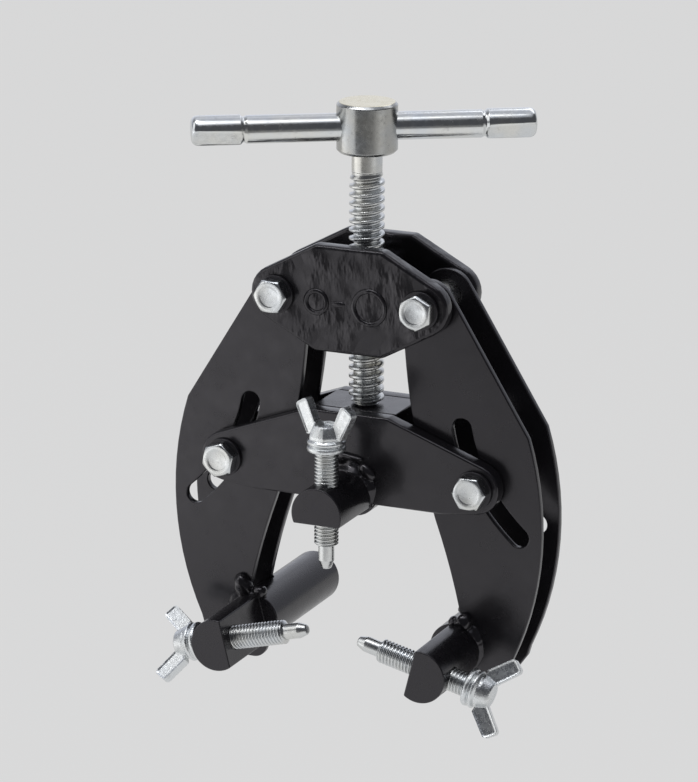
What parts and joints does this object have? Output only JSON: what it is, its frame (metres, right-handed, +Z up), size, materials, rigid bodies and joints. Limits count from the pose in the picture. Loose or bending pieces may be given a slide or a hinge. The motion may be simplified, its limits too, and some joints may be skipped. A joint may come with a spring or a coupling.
{
  "type": "pipe alignment clamp",
  "caption": "Screw clamp that centres two pipe ends for welding: a T-bar screw closes two slotted arms and a crosshead on three bars, with wing screws on their front ends.",
  "frame": {"origin": "centre of the pipe seat, on the axis of the circle that touches all three bars at rest, at the middle of the bars' length", "axes": "+Y along the pipe towards the rear of the clamp, so the adjusting screws are at -Y; +Z up along the lead screw to its T-bar; +X to the right seen from the front"},
  "size_m": [0.1674, 0.1042, 0.2467],
  "materials": {
    "frame_paint": "satin black paint over rolled plate",
    "arm_paint": "satin black paint over cut plate",
    "bar_paint": "satin black paint over bar stock and weld beads",
    "black_washer": "satin black",
    "zinc_screw": "bright zinc plate with turning marks",
    "zinc_stud": "bright zinc plate",
    "zinc_wing": "zinc plate over a grainy casting",
    "zinc_hardware": "bright zinc plate"
  },
  "bodies": {
    "yoke": {"yoke_front_plate": "frame_paint", "yoke_rear_plate": "frame_paint", "feed_nut": "frame_paint", "pivot_sleeves": "zinc_hardware", "pivot_bolts": "zinc_hardware", "pivot_washers": "black_washer", "pivot_nuts": "zinc_hardware"},
    "crosshead": {"crosshead_front_plate": "frame_paint", "crosshead_rear_plate": "frame_paint", "crosshead_bridge": "frame_paint", "top_bar": "bar_paint", "guide_bolts": "zinc_hardware", "guide_washers": "black_washer", "guide_nuts": "zinc_hardware"},
    "lead_screw": {"lead_screw": "zinc_screw", "handle_boss": "zinc_screw", "retaining_collar": "zinc_screw", "collar_pin": "zinc_hardware"},
    "t_bar": {"t_bar": "zinc_screw"},
    "left_arm": {"left_arm_front_plate": "arm_paint", "left_arm_rear_plate": "arm_paint", "left_bar": "bar_paint"},
    "right_arm": {"right_arm_front_plate": "arm_paint", "right_arm_rear_plate": "arm_paint", "right_bar": "bar_paint"},
    "top_screw": {"top_stud": "zinc_stud"},
    "top_wings": {"top_wing_nut": "zinc_wing"},
    "left_screw": {"left_stud": "zinc_stud"},
    "left_wings": {"left_wing_nut": "zinc_wing"},
    "right_screw": {"right_stud": "zinc_stud"},
    "right_wings": {"right_wing_nut": "zinc_wing"}
  },
  "joints": [
    {"name": "crosshead_slide", "type": "slide", "parent": "yoke", "child": "crosshead", "axis": [0, 0, -1], "range_m": [-0.0218, 0.0109]},
    {"name": "screw_turn", "type": "hinge", "parent": "crosshead", "child": "lead_screw", "pos_m": [0, 0, 0.1295], "axis": [0, 0, -1], "range_deg": [-2163, 1082]},
    {"name": "t_bar_slide", "type": "slide", "parent": "lead_screw", "child": "t_bar", "axis": [0.8526, 0.5225, 0], "range_m": [-0.035, 0.0375]},
    {"name": "left_arm_swing", "type": "hinge", "parent": "yoke", "child": "left_arm", "pos_m": [-0.032, 0, 0.1295], "axis": [0, -1, 0], "range_deg": [-8.5, 4.25]},
    {"name": "right_arm_swing", "type": "hinge", "parent": "yoke", "child": "right_arm", "pos_m": [0.032, 0, 0.1295], "axis": [0, 1, 0], "range_deg": [-8.5, 4.25]},
    {"name": "top_screw_slide", "type": "slide", "parent": "crosshead", "child": "top_screw", "axis": [0, 0, 1], "range_m": [-0.01225, 0.01925]},
    {"name": "top_wings_turn", "type": "hinge", "parent": "top_screw", "child": "top_wings", "pos_m": [0, -0.0395, 0.048], "axis": [0, 0, 1], "range_deg": [-2941, 4621]},
    {"name": "left_screw_slide", "type": "slide", "parent": "left_arm", "child": "left_screw", "axis": [-0.9703, 0, -0.2419], "range_m": [0, 0.0315]},
    {"name": "left_wings_turn", "type": "hinge", "parent": "left_screw", "child": "left_wings", "pos_m": [-0.0457, -0.0395, -0.01467], "axis": [-0.9703, 0, -0.2419], "range_deg": [0, 7561]},
    {"name": "right_screw_slide", "type": "slide", "parent": "right_arm", "child": "right_screw", "axis": [0.9703, 0, -0.2419], "range_m": [-0.006, 0.0245]},
    {"name": "right_wings_turn", "type": "hinge", "parent": "right_screw", "child": "right_wings", "pos_m": [0.0457, -0.0395, -0.01467], "axis": [0.9703, 0, -0.2419], "range_deg": [-1441, 5881]}
  ],
  "couplings": [
    {"joint": "screw_turn", "follows": "crosshead_slide", "rad_per_m": 1730.9},
    {"joint": "left_arm_swing", "follows": "crosshead_slide", "rad_per_m": 6.8},
    {"joint": "right_arm_swing", "follows": "crosshead_slide", "rad_per_m": 6.8},
    {"joint": "top_wings_turn", "follows": "top_screw_slide", "rad_per_m": 4188.8},
    {"joint": "left_wings_turn", "follows": "left_screw_slide", "rad_per_m": 4188.8},
    {"joint": "right_wings_turn", "follows": "right_screw_slide", "rad_per_m": 4188.8}
  ]
}
